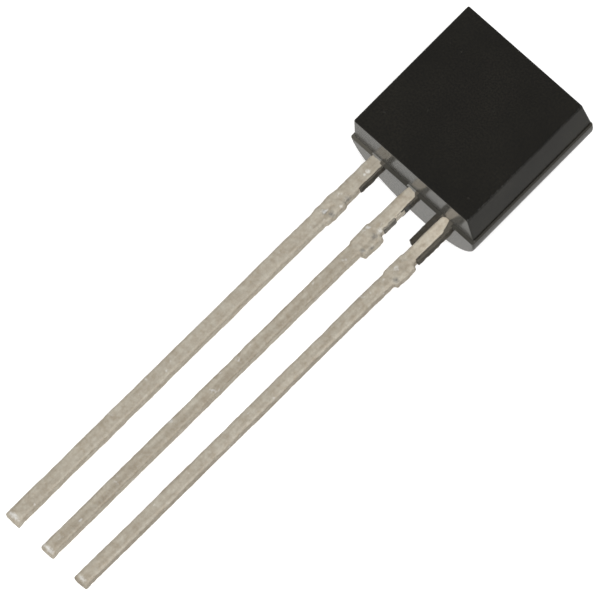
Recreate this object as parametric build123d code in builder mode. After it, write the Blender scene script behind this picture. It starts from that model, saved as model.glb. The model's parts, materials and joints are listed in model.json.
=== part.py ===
"""A loose three-lead transistor in a TO-92 package, lying on its round back. Lengths in mm, angles in degrees.

The package keeps directions of its own: across is left to right over the flat face, up runs from the
leads' end of the body to its far end, and deep runs from the flat face to the round back.
"""
import os
from math import asin, atan2, cos, hypot, radians, sin, tan

from build123d import *

# Moulded body: its front half is smaller than its rear half by a ledge, and stands a little high on it
body_width = 4.58
body_height = 4.62
flat_depth = 1.25
side_ledge = 0.055
lower_ledge = 0.095
upper_ledge = 0.01
side_draft = 5.2
end_draft = 3.1
front_edge_radius = 0.05
back_edge_radius = 0.07

# Leads, as stamped and plated: below the body they lean to the left
lead_pitch = 1.27
collector_offset = 0.026
base_offset = 0.02
lead_length = 13.68
lead_lean = 0.6
lead_thickness = 0.33
collector_width = 0.425
post_lead_width = 0.365
edge_bevel = 0.03

# Lead tips, pinched where they were cut: a bevel runs down to a thinner and wider lip
tip_lip_length = 0.07
tip_bevel_length = 0.13
tip_bevel_depth = 0.06
tip_flare_length = 0.3
tip_flare = 0.03

# Stubs that the cut dam bar left on the leads: how far each stands out on the left and right of its lead
dam_bar_drop = 1.4
dam_bar_height = 0.77
stub_taper = 0.06
collector_stubs = (0.02, 0.045)
base_stubs = (0.03, 0.15)
emitter_stubs = (0.03, 0.11)

# Strips of resin flash beside the leads, under the body
collector_flash_width = 0.03
collector_flash_length = 0.88
base_flash_width = 0.035
base_flash_film = 0.015
base_film_start = 0.61
base_film_end = 0.83
base_flash_length = 1.28
emitter_flash_widths = (0.155, 0.055)
emitter_flash_lengths = (1.02, 1.29)

# Inner ends of the leads
paddle_height = 1.6
paddle_rise = 1.75
post_gap = 0.35
post_height = 0.55
base_post_width = 0.95
emitter_post_width = 0.5
emitter_post_rise = 2.05
frame_corner_radius = 0.1

# Chip and bond wires
die_size = 0.56
die_thickness = 0.2
pad_spacing = 0.24
wire_radius = 0.02
wire_bend = 0.16
loop_rise = 0.55
ball_radius = 0.045
ball_height = 0.03

# Sizes that follow from those above
back_radius = body_width / 2
body_depth = flat_depth + back_radius
lead_back = flat_depth + lead_thickness
tip_front = flat_depth + tip_bevel_depth
lean_slope = tan(radians(lead_lean))

# The back's lower rim and the lead tips both touch the table, which gives the tilt of the leads
tip_rise = body_depth - lead_back - back_edge_radius
tip_run = lead_length + back_edge_radius
tilt = atan2(tip_rise, tip_run) + asin(back_edge_radius / hypot(tip_rise, tip_run))

# The three directions, and the package's zero point: middle of the flat face, level with the leads' end
across = Vector(1, 0, 0)
up = Vector(0, cos(tilt), sin(tilt))
deep = Vector(0, sin(tilt), -cos(tilt))
tips_y = tip_front * deep.Y - lead_length * up.Y
top_y = (body_height - back_edge_radius) * up.Y + (body_depth - back_edge_radius) * deep.Y + back_edge_radius
zero = Vector(0, -(tips_y + top_y) / 2, lead_length * up.Z - lead_back * deep.Z)

# Face on, drawn across and up; end on, drawn across and deep; side on, drawn deep and up
flat_plane = Plane(zero, x_dir=across, z_dir=-deep)
frame_plane = flat_plane.offset(-flat_depth)
end_plane = Plane(zero, x_dir=across, z_dir=up)
side_plane = Plane(zero, x_dir=deep, z_dir=across)
up_axis = Axis(zero, up)
deep_axis = Axis(zero, deep)

# Places on the lead frame, across and up
collector_x = -lead_pitch - collector_offset
base_x = base_offset
emitter_x = lead_pitch
emitter_post_right = emitter_x + post_lead_width / 2
emitter_post_left = emitter_post_right - emitter_post_width
emitter_post_x = (emitter_post_left + emitter_post_right) / 2
emitter_post_y = emitter_post_rise + post_height / 2
paddle_left = collector_x - collector_width / 2
paddle_right = emitter_post_left - post_gap
paddle_width = paddle_right - paddle_left
die_x = (paddle_left + paddle_right) / 2
die_y = paddle_rise + paddle_height / 2
base_post_y = paddle_rise - post_gap - post_height / 2
dam_bar_top = -dam_bar_drop
dam_bar_bottom = -dam_bar_drop - dam_bar_height
flare_top = tip_flare_length - lead_length


def leaning(x, y):
    """A place on or beside a lead below the body, moved over by the lean."""
    return (x + y * lean_slope, y)


def stamped_lead(lead_x, width, stubs, head_x, head_y, head_width, head_height):
    """Stamp one lead: a straight shank with dam bar stubs below the body and a wider head inside it."""
    left = lead_x - width / 2
    right = lead_x + width / 2
    with BuildPart() as lead:
        with BuildSketch(frame_plane):
            with Locations((lead_x, 0)):
                Rectangle(width, head_y, align=(Align.CENTER, Align.MIN))
            with Locations((head_x, head_y)):
                RectangleRounded(head_width, head_height, frame_corner_radius)
            Polygon(
                leaning(left, 0),
                leaning(left, flare_top),
                leaning(left - tip_flare, -lead_length),
                leaning(right + tip_flare, -lead_length),
                leaning(right, flare_top),
                leaning(right, 0),
                align=None,
            )
            Polygon(
                leaning(left, dam_bar_top),
                leaning(left - stubs[0], dam_bar_top - stub_taper),
                leaning(left - stubs[0], dam_bar_bottom + stub_taper),
                leaning(left, dam_bar_bottom),
                leaning(right, dam_bar_bottom),
                leaning(right + stubs[1], dam_bar_bottom + stub_taper),
                leaning(right + stubs[1], dam_bar_top - stub_taper),
                leaning(right, dam_bar_top),
                align=None,
            )
        extrude(amount=-lead_thickness)

        # Stamping leaves a small bevel on the front edges
        chamfer(faces().sort_by(deep_axis)[0].edges(), edge_bevel)

        # The cut leaves a longer bevel and the lip on the front of the tip
        with BuildSketch(side_plane.offset(leaning(lead_x, -lead_length)[0])):
            with BuildLine():
                Polyline(
                    (flat_depth, tip_lip_length + tip_bevel_length - lead_length),
                    (flat_depth, -lead_length),
                    (tip_front, -lead_length),
                    (tip_front, tip_lip_length - lead_length),
                    close=True,
                )
            make_face()
        extrude(amount=width, both=True, mode=Mode.SUBTRACT)
    return lead


# The collector's head is the paddle that carries the chip. The other two end in bonding posts.
collector_lead = stamped_lead(
    collector_x, collector_width, collector_stubs, die_x, die_y, paddle_width, paddle_height
)
base_lead = stamped_lead(
    base_x, post_lead_width, base_stubs, base_x, base_post_y, base_post_width, post_height
)
emitter_lead = stamped_lead(
    emitter_x, post_lead_width, emitter_stubs, emitter_post_x, emitter_post_y, emitter_post_width, post_height
)

# Silicon chip on the paddle
with BuildPart() as die:
    with BuildSketch(frame_plane):
        with Locations((die_x, die_y)):
            Rectangle(die_size, die_size)
    extrude(amount=die_thickness)


def bond_wire(start_y, end_x, end_y):
    """Loop one gold wire from its ball on the chip to the middle of a post."""
    foot = frame_plane.from_local_coords((die_x, start_y))
    run = frame_plane.from_local_coords((end_x, end_y)) - foot
    with BuildPart() as wire:
        with BuildLine(Plane(foot, x_dir=run, z_dir=run.cross(-deep))) as loop:
            FilletPolyline(
                (0, die_thickness),
                (0, loop_rise),
                (run.length, loop_rise),
                (run.length, 0),
                radius=wire_bend,
            )
        with BuildSketch(Plane(loop.line @ 0, z_dir=-deep)):
            Circle(wire_radius)
        sweep()
        with BuildSketch(Plane(loop.line @ 0, z_dir=-deep)):
            Circle(ball_radius)
        extrude(amount=ball_height)
    return wire


base_bond_wire = bond_wire(die_y - pad_spacing / 2, base_x, base_post_y)
emitter_bond_wire = bond_wire(die_y + pad_spacing / 2, emitter_post_x, emitter_post_y)


def flash(side_x, side, steps):
    """Draw a strip of flash on one side of a lead: each step is how far it stands out and where it ends."""
    top = 0
    for width, length in steps:
        left, right = sorted((side_x, side_x + side * width))
        Polygon(
            leaning(left, -top),
            leaning(left, -length),
            leaning(right, -length),
            leaning(right, -top),
            align=None,
        )
        top = length


# Moulded body, closed round everything above
with BuildPart() as body:
    # Front half: walls that draft in from the ledge to the flat face
    with BuildSketch(frame_plane):
        with Locations((0, lower_ledge)):
            Rectangle(
                body_width - 2 * side_ledge,
                body_height - lower_ledge - upper_ledge,
                align=(Align.CENTER, Align.MIN),
            )
    extrude(amount=flat_depth)
    draft(faces().filter_by(Axis.X), frame_plane, side_draft)
    draft(faces().sort_by(up_axis)[:1] + faces().sort_by(up_axis)[-1:], frame_plane, end_draft)
    back_face = faces().sort_by(deep_axis)[-1]
    fillet(edges() - back_face.edges(), front_edge_radius)

    # Rear half: a half cylinder on the parting plane
    with BuildSketch(end_plane):
        with BuildLine():
            CenterArc((0, flat_depth), back_radius, 0, 180)
            Line((-back_radius, flat_depth), (back_radius, flat_depth))
        make_face()
    extrude(amount=body_height)
    fillet(edges().filter_by(GeomType.CIRCLE).group_by(SortBy.RADIUS)[-1], back_edge_radius)

    # Flash beside the leads, as thick as the leads are
    with BuildSketch(frame_plane):
        flash(collector_x + collector_width / 2, 1, [(collector_flash_width, collector_flash_length)])
        flash(
            base_x + post_lead_width / 2,
            1,
            [
                (base_flash_width, base_film_start),
                (base_flash_film, base_film_end),
                (base_flash_width, base_flash_length),
            ],
        )
        for side, width, length in zip((-1, 1), emitter_flash_widths, emitter_flash_lengths):
            flash(emitter_x + side * post_lead_width / 2, side, [(width, length)])
    extrude(amount=-lead_thickness)

    # Pockets that fit the metal, the chip and the wires
    for piece in (collector_lead, base_lead, emitter_lead, die, base_bond_wire, emitter_bond_wire):
        add(piece.part, mode=Mode.SUBTRACT)

os.makedirs("parts", exist_ok=True)
for name, piece in {
    "body": body,
    "collector_lead": collector_lead,
    "base_lead": base_lead,
    "emitter_lead": emitter_lead,
    "die": die,
    "base_bond_wire": base_bond_wire,
    "emitter_bond_wire": emitter_bond_wire,
}.items():
    piece.part.label = name
    export_step(piece.part, f"parts/{name}.step")
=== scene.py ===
import json
import math

import bmesh
import bpy
from mathutils import Matrix, Vector, noise


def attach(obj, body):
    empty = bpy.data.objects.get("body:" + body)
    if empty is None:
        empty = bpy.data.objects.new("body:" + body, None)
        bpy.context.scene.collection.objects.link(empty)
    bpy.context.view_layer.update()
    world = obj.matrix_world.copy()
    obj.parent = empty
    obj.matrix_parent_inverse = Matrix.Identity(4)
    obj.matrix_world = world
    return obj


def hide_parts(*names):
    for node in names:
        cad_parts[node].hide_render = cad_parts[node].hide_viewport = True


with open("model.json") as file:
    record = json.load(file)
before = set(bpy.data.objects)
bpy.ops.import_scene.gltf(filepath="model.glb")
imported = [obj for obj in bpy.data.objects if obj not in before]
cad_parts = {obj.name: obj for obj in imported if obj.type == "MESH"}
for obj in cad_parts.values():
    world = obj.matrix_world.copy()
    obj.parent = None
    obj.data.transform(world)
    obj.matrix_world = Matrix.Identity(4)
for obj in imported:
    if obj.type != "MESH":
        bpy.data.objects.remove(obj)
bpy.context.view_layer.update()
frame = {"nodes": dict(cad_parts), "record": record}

MM = 0.001

# Package directions and zero point, read from the part's mounts
mounts = {mount["name"]: mount for mount in frame["record"]["mounts"]}
across = Vector((1, 0, 0))
out = Vector(mounts["flat_front"]["axis"]).normalized()
up = -Vector(mounts["lead_row"]["axis"]).normalized()
lead_root = Vector(mounts["lead_row"]["pos_m"])
flat_middle = Vector(mounts["flat_front"]["pos_m"])
zero = flat_middle + up * (lead_root - flat_middle).dot(up)
tilt = math.atan2(up.z, up.y)

# From the package's millimetres, across, up and out of the flat face, to the frame, and back
package_turn = Matrix((across, up, out)).transposed().to_4x4()
to_frame = Matrix.Translation(zero) @ package_turn @ Matrix.Scale(MM, 4)
to_package = to_frame.inverted()

# Lead frame: its front behind the flat face, its thickness, and the lean of the leads
frame_depth = 1.25
frame_thickness = 0.33
lean_slope = math.tan(math.radians(0.6))

# Camera: its turn from the flat face, its view, its distances in metres, and its aim on that face's plane
view_side = math.radians(18.353)
view_below = math.radians(8.81)
view_roll = math.radians(44.915)
view_angle = math.radians(3.6235)
view_distance = 0.24922
view_start = 0.01
aim = Vector((0.3419, -4.3781, 0))
to_camera = across * math.sin(view_side) + out * math.cos(view_side)
to_camera = to_camera * math.cos(view_below) - up * math.sin(view_below)


def add_camera():
    """Look at the flat face from its right and from below, with the leads running down to the left."""
    level = across * math.cos(view_side) - out * math.sin(view_side)
    rise = to_camera.cross(level)
    right = level * math.cos(view_roll) + rise * math.sin(view_roll)
    top = rise * math.cos(view_roll) - level * math.sin(view_roll)
    data = bpy.data.cameras.new("camera")
    data.sensor_fit = "HORIZONTAL"
    data.angle = view_angle
    data.clip_start = view_start
    camera = bpy.data.objects.new("camera", data)
    turn = Matrix((right, top, to_camera)).transposed().to_4x4()
    camera.matrix_world = Matrix.Translation(to_frame @ aim + to_camera * view_distance) @ turn
    bpy.context.scene.collection.objects.link(camera)
    bpy.context.scene.camera = camera


# Spots on the leads: the noise that makes them ragged and, in radii, its reach and a spot's middle and edge
spot_scale = 18.0
spot_shift = 1.6
spot_middle = 0.9
spot_edge = 1.9


class Shader:
    """A node material with one surface shader and short ways to add and join nodes."""

    def __init__(self, name):
        self.material = bpy.data.materials.new(name)
        self.material.use_nodes = True
        self.tree = self.material.node_tree
        self.surface = self.tree.nodes["Principled BSDF"]

    def feed(self, socket, value):
        """Link a socket to another one, or set it to a number, a vector or a colour."""
        if isinstance(value, bpy.types.NodeSocket):
            self.tree.links.new(value, socket)
        elif socket.type == "RGBA":
            socket.default_value = (*value, 1)
        else:
            socket.default_value = value

    def add(self, kind, inputs, **settings):
        """Add a node with its settings, and feed its inputs by name or by number."""
        node = self.tree.nodes.new(kind)
        for key, value in settings.items():
            setattr(node, key, value)
        for key, value in inputs.items():
            self.feed(node.inputs[key], value)
        return node

    def finish(self, **values):
        """Feed the surface's own sockets, and give back the material."""
        for name, value in values.items():
            self.feed(self.surface.inputs[name.replace("_", " ")], value)
        return self.material

    def package_mm(self, stretch=(1, 1, 1)):
        """Coordinates across, up and out of the package, in millimetres, divided by stretch."""
        place = {
            "Vector": self.add("ShaderNodeTexCoord", {}).outputs["Object"],
            "Location": (0, -zero.dot(up) / MM, -zero.dot(out) / MM),
            "Rotation": (-tilt, 0, 0),
            "Scale": (1 / MM,) * 3,
        }
        local = self.add("ShaderNodeMapping", place).outputs["Vector"]
        scale = [1 / value for value in stretch]
        return self.add("ShaderNodeMapping", {"Vector": local, "Scale": scale}).outputs["Vector"]

    def place_mm(self, axis):
        """X across, Y up or Z deep behind the flat face, in millimetres."""
        return self.add("ShaderNodeSeparateXYZ", {"Vector": self.package_mm((1, 1, -1))}).outputs[axis]

    def across_lead(self):
        """Place across, in millimetres, as if the leads did not lean."""
        return self.calculate("MULTIPLY_ADD", self.place_mm("Y"), -lean_slope, self.place_mm("X"))

    def facing(self, direction):
        """How far a face is turned to a direction: one if straight at it."""
        normal = self.add("ShaderNodeTexCoord", {}).outputs["Normal"]
        turned = self.add("ShaderNodeVectorMath", {0: normal, 1: direction}, operation="DOT_PRODUCT")
        return turned.outputs["Value"]

    def calculate(self, operation, *values):
        """One step of arithmetic on sockets and numbers."""
        return self.add("ShaderNodeMath", dict(enumerate(values)), operation=operation).outputs["Value"]

    def where_both(self, first, second):
        """One where both masks are one, none where either is none."""
        return self.calculate("MULTIPLY", first, second)

    def band(self, source, middle, reach):
        """One within a reach of some level, none outside it."""
        return self.calculate("COMPARE", source, middle, reach)

    def step(self, source, none, full):
        """From none to one as a value goes from one level to another."""
        inputs = {"Value": source, "From Min": none, "From Max": full}
        return self.add("ShaderNodeMapRange", inputs).outputs["Result"]

    def noise(self, scale, detail=3.0, rough=0.55, stretch=(1, 1, 1)):
        """Smooth noise, its scale per millimetre."""
        inputs = {"Vector": self.package_mm(stretch), "Scale": scale, "Detail": detail, "Roughness": rough}
        return self.add("ShaderNodeTexNoise", inputs).outputs["Fac"]

    def ramp(self, source, low, high, span=(0.3, 0.7)):
        """Map a value between two colours or two grey levels, over part of its range."""
        node = self.add("ShaderNodeValToRGB", {"Fac": source})
        for element, place_on, value in zip(node.color_ramp.elements, span, (low, high)):
            element.position = place_on
            element.color = (*value, 1) if hasattr(value, "__len__") else (value, value, value, 1)
        return node.outputs["Color"]

    def mix(self, factor, first, second, blend_type="MIX"):
        """Blend two colours by a factor, each of them a socket or a constant."""
        inputs = {"Fac": factor, "Color1": first, "Color2": second}
        return self.add("ShaderNodeMixRGB", inputs, blend_type=blend_type).outputs["Color"]

    def spots(self, places, most, wide=1.0):
        """Soft uneven spots on the front of the leads, from none outside them to most in their middle."""
        shift = self.noise(spot_scale, detail=2.0, rough=0.5)
        coordinates = self.package_mm((wide, 1, 1))
        total = None
        for right, rise, radius in places:
            ends = {0: coordinates, 1: (right / wide, rise, -frame_depth)}
            away = self.add("ShaderNodeVectorMath", ends, operation="DISTANCE").outputs["Value"]
            ragged = self.calculate("MULTIPLY_ADD", shift, spot_shift * radius, away)
            spot = self.ramp(ragged, most, 0.0, span=(spot_middle * radius, spot_edge * radius))
            total = spot if total is None else self.mix(1.0, total, spot, "LIGHTEN")
        return total

    def bump(self, source, height_mm):
        """Fine relief of a height in millimetres."""
        inputs = {"Height": source, "Strength": 1.0, "Distance": height_mm * MM}
        return self.add("ShaderNodeBump", inputs).outputs["Normal"]


# Moulding compound: tones of its clouds, its grain and its dust, with their scales per millimetre
cloud_scale = 0.5
cloud_tones = ((0.0057, 0.0049, 0.0031), (0.0146, 0.0129, 0.0089))
grain_scale = 19.0
grain_share = (0.2, 1.0)
grain_span = (0.38, 0.62)
grain_tone = (0.002, 0.0018, 0.0013)
dust_scale = 5.0
dust_most = 0.6
dust_span = (0.75, 0.82)
dust_tone = (0.04, 0.038, 0.033)

# Its lower end, paler by a painted reflection of the table, by how far a face turns that way, and the faces
# of its parting ledge, paler by a painted reflection, by depth
reflection_turn = (0.8, 0.95)
painted_reflection_tone = (0.097, 0.095, 0.087)
parting_reach = 0.03
parting_reflection_tone = (0.056, 0.053, 0.045)

# Painted reflection, paler still, on the left end of the lower ledge, by rise and place across
ledge_reflection_rise = (0.3, 0.15)
ledge_reflection_across = (-0.8, -1.6)
ledge_reflection_tone = (0.105, 0.099, 0.083)

# Gloss and relief of the moulding compound
epoxy_ior = 1.5
epoxy_gloss_scale = 9.0
epoxy_roughness = (0.09, 0.14)
epoxy_relief_scale = 22.0
epoxy_relief = 0.004


def epoxy():
    """Black moulding compound with a fine grain, and a painted reflection that makes its lower end and its
    parting ledge paler.
    """
    shader = Shader("epoxy")
    cloud = shader.ramp(shader.noise(cloud_scale), *cloud_tones)
    grain = shader.ramp(shader.noise(grain_scale, detail=2.0), *grain_share, span=grain_span)
    tone = shader.mix(grain, grain_tone, cloud)
    dust = shader.ramp(shader.noise(dust_scale, detail=1.0), 0.0, dust_most, span=dust_span)
    dusty = shader.mix(dust, tone, dust_tone)
    # Painted reflection: faces turned down, towards the table, are paler
    with_end_reflection = shader.mix(shader.step(shader.facing(-up), *reflection_turn), dusty, painted_reflection_tone)
    parting = shader.band(shader.place_mm("Z"), frame_depth, parting_reach)
    # Painted reflection: the faces at the parting ledge's depth are paler
    with_ledge_reflection = shader.mix(parting, with_end_reflection, parting_reflection_tone)
    low = shader.step(shader.place_mm("Y"), *ledge_reflection_rise)
    left = shader.step(shader.place_mm("X"), *ledge_reflection_across)
    # Painted reflection on the left end of the lower ledge
    with_left_ledge_reflection = shader.mix(shader.where_both(parting, shader.where_both(low, left)), with_ledge_reflection, ledge_reflection_tone)
    return shader.finish(
        Base_Color=with_left_ledge_reflection,
        IOR=epoxy_ior,
        Roughness=shader.ramp(shader.noise(epoxy_gloss_scale), *epoxy_roughness),
        Normal=shader.bump(shader.noise(epoxy_relief_scale, detail=2.0), epoxy_relief),
    )


# Flash: its dark and light tones, and the tone of its edges
flash_tones = {
    "flash_resin": ((0.036, 0.031, 0.023), (0.082, 0.073, 0.057), (0.115, 0.104, 0.084)),
    "broad_resin": ((0.03, 0.026, 0.019), (0.07, 0.062, 0.048), (0.05, 0.044, 0.033)),
    "worn_resin": ((0.1, 0.092, 0.078), (0.22, 0.205, 0.175), (0.3, 0.277, 0.232)),
    "thin_resin": ((0.2, 0.194, 0.178), (0.29, 0.281, 0.261), (0.25, 0.243, 0.224)),
}
flash_scale = 7.0

# Distance from the middle of the leads' thickness at which the edge tone starts, and is full
flash_edge = (0.09, 0.19)

# Gloss and relief of the flash
flash_ior = 1.3
flash_gloss_scale = 14.0
flash_roughness = (0.5, 0.7)
flash_relief_scale = 30.0
flash_relief = 0.004


def flash_resin(name, low, high, edge):
    """Thin broken resin, duller than the moulded faces, with another tone at its edges."""
    shader = Shader(name)
    tone = shader.ramp(shader.noise(flash_scale), low, high)
    away = shader.calculate("SUBTRACT", shader.place_mm("Z"), frame_depth + frame_thickness / 2)
    edged = shader.mix(shader.step(shader.calculate("ABSOLUTE", away), *flash_edge), tone, edge)
    return shader.finish(
        Base_Color=edged,
        IOR=flash_ior,
        Roughness=shader.ramp(shader.noise(flash_gloss_scale), *flash_roughness),
        Normal=shader.bump(shader.noise(flash_relief_scale), flash_relief),
    )


# Tin plating: its mottle and its fine lines along the leads, with their scales per millimetre
mottle_scale = 6.0
mottle_detail = 5.0
mottle_rough = 0.7
mottle_span = (0.34, 0.66)
mottle_tones = ((0.425, 0.368, 0.286), (0.57, 0.532, 0.45))
line_scale = 11.0
line_stretch = (1, 14, 1)
line_tones = ((0.88, 0.87, 0.86), (1.0, 1.0, 1.0))

# Depths behind the leads' front at which their sheared sides start and are full
sheared_from = 0.025
sheared_full = 0.065

# Dark streak down the right of the base lead, by place across and up
streak_left = (-0.03, 0.045)
streak_right = (0.6, 0.5)
streak_top = (-2.1, -2.7)
streak_tone = (0.88, 0.865, 0.845)

# Painted shade on the sides of the emitter lead, by place across
emitter_shade_across = (0.7, 0.8)
emitter_side_shade_tone = (0.765, 0.75, 0.73)

# Painted light at the lead roots, lifting the shade the body casts there, by rise, and more so towards the
# emitter lead, by place across
root_light_rise = (-1.7, -0.4)
root_light_across = (-0.9, 1.2)
root_light_tone = (1.37, 1.37, 1.37)

# Dull dark spots on the front of the leads, across, up and radius
dark_spots = [
    (-1.05, -1.31, 0.16),
    (-1.12, -1.89, 0.11),
    (-1.3, -1.97, 0.08),
    (0.18, -1.58, 0.11),
    (0.215, -2.07, 0.09),
    (1.46, -2.06, 0.1),
    (0.36, -1.85, 0.09),
]
dark_spot_most = 0.7
dark_spot_tone = (0.13, 0.135, 0.14)

# Bright flecks all over the leads
fleck_scale = 4.5
fleck_stretch = (1, 1.4, 1)
fleck_most = 0.6
fleck_span = (0.68, 0.76)
fleck_tone = (0.8, 0.8, 0.79)

# Painted glints of small shiny tin bumps, as bright specks, across, up and radius
glint_specks = [(-1.242, -0.38, 0.08), (-1.255, -0.5, 0.05), (-1.08, -1.57, 0.06), (0.18, -1.37, 0.1)]
speck_glint_most = 0.8
speck_glint_tone = (0.85, 0.84, 0.8)

# Painted glints on the bevels of the cut tips, across, up and radius, and how much wider than high each is
tip_glints = [(-1.45, -13.57, 0.085), (-0.125, -13.6, 0.085), (1.115, -13.57, 0.06)]
tip_glint_most = 0.8
tip_glint_wide = 2.6
tip_glint_tone = (0.9, 0.9, 0.88)

# Gloss and relief of the plating
tin_metallic = 0.2
tin_gloss_scale = 6.0
tin_roughness = (0.55, 0.7)
tin_relief_scale = 16.0
tin_relief_stretch = (1, 3, 1)
tin_relief = 0.004


def tin():
    """Dull tin plating, mottled and lined, with a dark streak, dark spots and flecks, painted shade on the
    emitter lead's sides, painted light at the roots, and painted glints on specks and on the cut tips.
    """
    shader = Shader("tinned_lead")
    mottle_noise = shader.noise(mottle_scale, detail=mottle_detail, rough=mottle_rough)
    mottle = shader.ramp(mottle_noise, *mottle_tones, span=mottle_span)
    lines = shader.ramp(shader.noise(line_scale, stretch=line_stretch), *line_tones)
    tone = shader.mix(1.0, mottle, lines, "MULTIPLY")
    place = shader.across_lead()
    base_lead = shader.where_both(shader.step(place, *streak_left), shader.step(place, *streak_right))
    lower = shader.where_both(base_lead, shader.step(shader.place_mm("Y"), *streak_top))
    streaked = shader.mix(lower, tone, streak_tone, "MULTIPLY")
    side = shader.step(shader.place_mm("Z"), frame_depth + sheared_from, frame_depth + sheared_full)
    sheared = shader.mix(side, streaked, tone)
    # Painted shade: the emitter lead's side faces are darker
    emitter_shade_mask = shader.where_both(side, shader.step(place, *emitter_shade_across))
    side_shaded = shader.mix(emitter_shade_mask, sheared, emitter_side_shade_tone, "MULTIPLY")
    # Painted light: the lead roots are brighter, against the body's shade
    root = shader.step(shader.place_mm("Y"), *root_light_rise)
    root_light_mask = shader.where_both(root, shader.step(place, *root_light_across))
    root_lit = shader.mix(root_light_mask, side_shaded, root_light_tone, "MULTIPLY")
    spotted = shader.mix(shader.spots(dark_spots, dark_spot_most), root_lit, dark_spot_tone)
    fleck_noise = shader.noise(fleck_scale, detail=2.0, stretch=fleck_stretch)
    flecked = shader.mix(shader.ramp(fleck_noise, 0.0, fleck_most, span=fleck_span), spotted, fleck_tone)
    # Painted glints on small tin bumps
    speck_glinted = shader.mix(shader.spots(glint_specks, speck_glint_most), flecked, speck_glint_tone)
    # Painted glints on the bevels of the cut tips
    tip_glinted = shader.mix(shader.spots(tip_glints, tip_glint_most, wide=tip_glint_wide), speck_glinted, tip_glint_tone)
    return shader.finish(
        Base_Color=tip_glinted,
        Metallic=tin_metallic,
        Roughness=shader.ramp(shader.noise(tin_gloss_scale), *tin_roughness),
        Normal=shader.bump(shader.noise(tin_relief_scale, stretch=tin_relief_stretch), tin_relief),
    )


silicon_scale = 8.0
silicon_tones = ((0.1, 0.11, 0.13), (0.16, 0.17, 0.2))


def silicon():
    """Dark polished chip with faint tone changes."""
    shader = Shader("silicon")
    tone = shader.ramp(shader.noise(silicon_scale), *silicon_tones)
    return shader.finish(Base_Color=tone, Metallic=0.6, Roughness=0.2)


gold_scale = 20.0
gold_tones = ((0.86, 0.6, 0.24), (0.95, 0.72, 0.34))


def gold():
    """Bright drawn gold wire."""
    shader = Shader("gold")
    tone = shader.ramp(shader.noise(gold_scale), *gold_tones)
    return shader.finish(Base_Color=tone, Metallic=1.0, Roughness=0.25)


finishes = {"epoxy": epoxy(), "tinned_lead": tin(), "silicon": silicon(), "gold": gold()}
resins = {name: flash_resin(name, *tones) for name, tones in flash_tones.items()}


def dress():
    """Give each solid the finish of its slot."""
    for subpart in frame["record"]["subparts"]:
        piece = frame["nodes"][subpart["node"]]
        piece.data.materials.clear()
        piece.data.materials.append(finishes[subpart["material_slot"]])


def even_faces(mesh, voxel):
    """Make a closed mesh again of small faces of one size. The mesh and the size are in millimetres."""
    holder = bpy.data.objects.new("holder", mesh)
    bpy.context.scene.collection.objects.link(holder)
    remesh = holder.modifiers.new("even", "REMESH")
    remesh.mode = "VOXEL"
    remesh.voxel_size = voxel
    remesh.use_smooth_shade = True
    remade = bpy.data.meshes.new_from_object(holder.evaluated_get(bpy.context.evaluated_depsgraph_get()))
    bpy.data.objects.remove(holder)
    return remade


def wear(mesh, waves, hold=None, coat=0.0):
    """Push each point out by a coat and by smooth noise: waves are pairs of a wavelength and a height.

    All are in millimetres, and hold, if there is one, gives the share of the push at a point.
    """
    pushes = []
    for vertex in mesh.vertices:
        push = coat + sum(height * noise.noise(vertex.co / length) for length, height in waves)
        pushes.append(vertex.normal * push * (hold(vertex.co) if hold else 1))
    for vertex, push in zip(mesh.vertices, pushes):
        vertex.co += push


def add_piece(name, mesh, material):
    """Put a mesh made in package millimetres on the part."""
    mesh.transform(to_frame)
    mesh.name = name
    mesh.materials.clear()
    mesh.materials.append(material)
    piece = bpy.data.objects.new(name, mesh)
    bpy.context.scene.collection.objects.link(piece)
    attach(piece, "root")
    return piece


# Plated leads: their faces, their rounded tips, and the plating with its waves
lead_voxel = 0.025
tip_top = -13.4
tip_rounds = 12
tip_smoothing = 0.5
plating = 0.012
lead_waves = ((0.9, 0.01), (0.3, 0.01), (0.11, 0.006), (0.06, 0.003))

# Below the body the plating starts at one distance and is full at another, and it is rougher by the dam bar
wear_start = 0.05
wear_full = 0.35
dam_bar_middle = -1.75
dam_bar_spread = 0.6
dam_bar_wear = 1.0


def round_tip(mesh):
    """Round off the corners at the tip of a lead."""
    bm = bmesh.new()
    bm.from_mesh(mesh)
    tip = [vertex for vertex in bm.verts if vertex.co.y < tip_top]
    axes = {"use_axis_x": True, "use_axis_y": True, "use_axis_z": True}
    for _ in range(tip_rounds):
        bmesh.ops.smooth_vert(bm, verts=tip, factor=tip_smoothing, **axes)
    bm.to_mesh(mesh)
    bm.free()


def below_body(point):
    """No wear inside the body, growing to full wear a little way out of it, and more by the dam bar."""
    rough = 1 + dam_bar_wear * math.exp(-(((point.y - dam_bar_middle) / dam_bar_spread) ** 2))
    return rough * min(max((-point.y - wear_start) / (wear_full - wear_start), 0), 1)


def add_leads():
    """The leads with their uneven plating, in place of the plain stamped ones."""
    for node in ("collector_lead", "base_lead", "emitter_lead"):
        mesh = frame["nodes"][node].data.copy()
        mesh.transform(to_package)
        mesh = even_faces(mesh, lead_voxel)
        round_tip(mesh)
        wear(mesh, lead_waves, below_body, plating)
        piece = add_piece(node + "_plated", mesh, finishes["tinned_lead"])
        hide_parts(node)


def slab(outline, front, back):
    """A closed plate with an outline across and up, from one depth behind the flat face to another."""
    bm = bmesh.new()
    near = [bm.verts.new((x, y, -front)) for x, y in outline]
    far = [bm.verts.new((x, y, -back)) for x, y in outline]
    bm.faces.new(near)
    bm.faces.new(far[::-1])
    for side in zip(near, far, far[1:] + far[:1], near[1:] + near[:1]):
        bm.faces.new(side)
    bmesh.ops.recalc_face_normals(bm, faces=bm.faces)
    mesh = bpy.data.meshes.new("slab")
    bm.to_mesh(mesh)
    bm.free()
    return mesh


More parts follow.
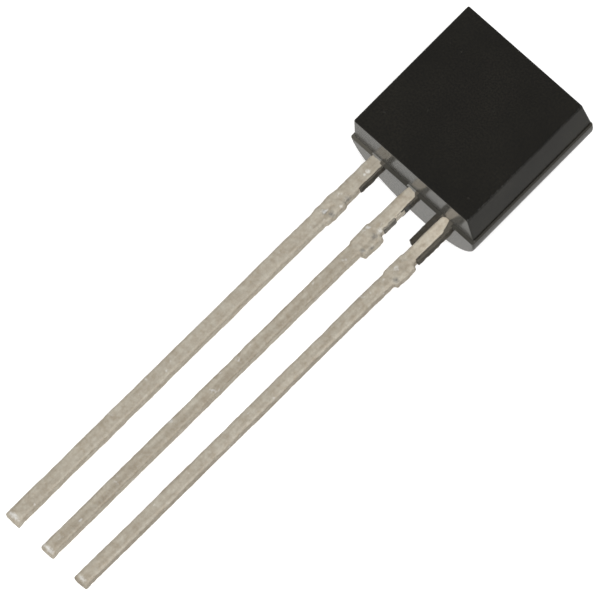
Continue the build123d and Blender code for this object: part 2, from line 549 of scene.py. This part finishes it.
# Ragged flash beside the leads: the resin of each strip, and its outline across and up
flash_voxel = 0.012
flash_waves = ((0.25, 0.014), (0.09, 0.014), (0.04, 0.006))
flash_cover = 0.006
flash_strips = {
    "collector_flash": ("flash_resin", [
        (-1.085, 0.0), (-1.09, -0.4), (-1.095, -0.8), (-1.07, -0.88), (-1.055, -0.84), (-1.04, -0.5),
        (-1.035, 0.0),
    ]),
    "base_flash": ("flash_resin", [
        (0.185, 0.0), (0.18, -0.35), (0.18, -0.5), (0.2, -0.48), (0.23, -0.33), (0.255, 0.0),
    ]),
    "emitter_flash_right": ("flash_resin", [
        (1.45, 0.0), (1.445, -1.27), (1.47, -1.32), (1.515, -1.28), (1.53, -0.7), (1.53, 0.0),
    ]),
    "emitter_flash_left": ("broad_resin", [
        (0.935, 0.0), (0.925, -0.7), (0.94, -0.97), (0.99, -1.04), (1.07, -1.03), (1.075, 0.0),
    ]),
    "base_flash_end": ("worn_resin", [
        (0.17, -0.86), (0.165, -1.2), (0.18, -1.3), (0.225, -1.28), (0.24, -1.1), (0.236, -0.84),
    ]),
}

# Bare metal on the front part of the base lead's side, between two lengths of flash
bare_share = 0.8
bare_patch = [
    (0.15, -0.5), (0.15, -0.86), (0.2, -0.88), (0.228, -0.82), (0.238, -0.6), (0.24, -0.5), (0.2, -0.47),
]

# Films of resin over the front of the lead roots, the palest worn thin, and how far they reach out and in
film_voxel = 0.01
film_waves = ((0.12, 0.008), (0.05, 0.004))
film_reach = 0.014
films = {
    "collector_bleed": ("flash_resin", [
        (-1.21, 0.1), (-1.19, 0.045), (-1.16, -0.01), (-1.06, -0.02), (-1.06, 0.1),
    ]),
    "base_bleed": ("flash_resin", [
        (0.09, 0.1), (0.1, 0.03), (0.16, -0.03), (0.2, -0.06), (0.2, 0.1),
    ]),
    "emitter_bleed_left": ("flash_resin", [
        (1.07, 0.1), (1.07, -0.02), (1.1, 0.02), (1.15, 0.06), (1.2, 0.075), (1.2, 0.1),
    ]),
    "emitter_bleed_right": ("flash_resin", [
        (1.32, 0.1), (1.34, 0.06), (1.38, -0.06), (1.42, -0.22), (1.47, -0.26), (1.47, 0.1),
    ]),
    "collector_film": ("thin_resin", [
        (-1.52, 0.095), (-1.52, 0.05), (-1.4, 0.035), (-1.19, 0.045), (-1.19, 0.095),
    ]),
    "base_film": ("thin_resin", [
        (-0.2, 0.095), (-0.2, 0.04), (-0.05, 0.04), (0.1, 0.03), (0.11, 0.095),
    ]),
}


def add_flash():
    """Ragged resin over the plain flash strips and on the lead roots."""
    frame_back = frame_depth + frame_thickness
    for name, (material, outline) in flash_strips.items():
        mesh = even_faces(slab(outline, frame_depth - flash_cover, frame_back + flash_cover), flash_voxel)
        wear(mesh, flash_waves)
        add_piece(name, mesh, resins[material])
    mesh = even_faces(slab(bare_patch, frame_depth, frame_depth + bare_share * frame_thickness), flash_voxel)
    wear(mesh, film_waves)
    add_piece("base_bare_patch", mesh, finishes["tinned_lead"])
    for name, (material, outline) in films.items():
        film = slab(outline, frame_depth - film_reach, frame_depth + film_reach)
        mesh = even_faces(film, film_voxel)
        wear(mesh, film_waves)
        add_piece(name, mesh, resins[material])


# Table: its size in metres, its tone, and a glow that keeps it white
floor_size = 1.2
floor_tone = (0.9, 0.9, 0.9)
floor_glow = 0.56


def add_floor():
    """A plain white table, left out of reflections: in the body's lower end it would outshine the leads."""
    half = floor_size / 2
    corners = [(-half, -half, 0), (half, -half, 0), (half, half, 0), (-half, half, 0)]
    mesh = bpy.data.meshes.new("floor")
    mesh.from_pydata(corners, [], [(0, 1, 2, 3)])
    mesh.materials.append(Shader("floor").finish(
        Base_Color=floor_tone,
        Roughness=0.9,
        Specular_IOR_Level=0.0,
        Emission_Color=(1, 1, 1),
        Emission_Strength=floor_glow,
    ))
    floor = bpy.data.objects.new("floor", mesh)
    bpy.context.scene.collection.objects.link(floor)
    floor.visible_glossy = False


# Light: a softbox behind the camera, a weaker one on the right, and a white room brightest low on the left
softbox_distance = 0.45
softbox_size = 0.2
front_watts = 1.38
side_watts = 0.35
side_rise = 0.45
room_tone = (1, 0.985, 0.95, 1)
room_light = 0.326
room_slope = (-0.21, 0, -0.09)


def add_softbox(name, direction, watts):
    """A round softbox that shines on the part from some direction."""
    data = bpy.data.lights.new(name, "AREA")
    data.shape = "DISK"
    data.size = softbox_size
    data.energy = watts
    softbox = bpy.data.objects.new(name, data)
    turn = direction.to_track_quat("Z", "Y").to_matrix().to_4x4()
    softbox.matrix_world = Matrix.Translation(to_frame @ aim + direction * softbox_distance) @ turn
    bpy.context.scene.collection.objects.link(softbox)


def add_light():
    """Light the part from the camera, so that its shadow falls behind it, and a little from its right."""
    add_softbox("softbox", to_camera, front_watts)
    add_softbox("side_softbox", (across + side_rise * out).normalized(), side_watts)
    world = bpy.data.worlds.new("studio")
    world.use_nodes = True
    nodes, links = world.node_tree.nodes, world.node_tree.links
    slope = nodes.new("ShaderNodeVectorMath")
    slope.operation = "DOT_PRODUCT"
    slope.inputs[1].default_value = room_slope
    links.new(nodes.new("ShaderNodeTexCoord").outputs["Generated"], slope.inputs[0])
    level = nodes.new("ShaderNodeMath")
    level.operation = "ADD"
    level.inputs[1].default_value = room_light
    links.new(slope.outputs["Value"], level.inputs[0])
    links.new(level.outputs["Value"], nodes["Background"].inputs["Strength"])
    nodes["Background"].inputs["Color"].default_value = room_tone
    bpy.context.scene.world = world
    bpy.context.scene.view_settings.view_transform = "Standard"


dress()
add_leads()
add_flash()
add_floor()
add_light()
add_camera()
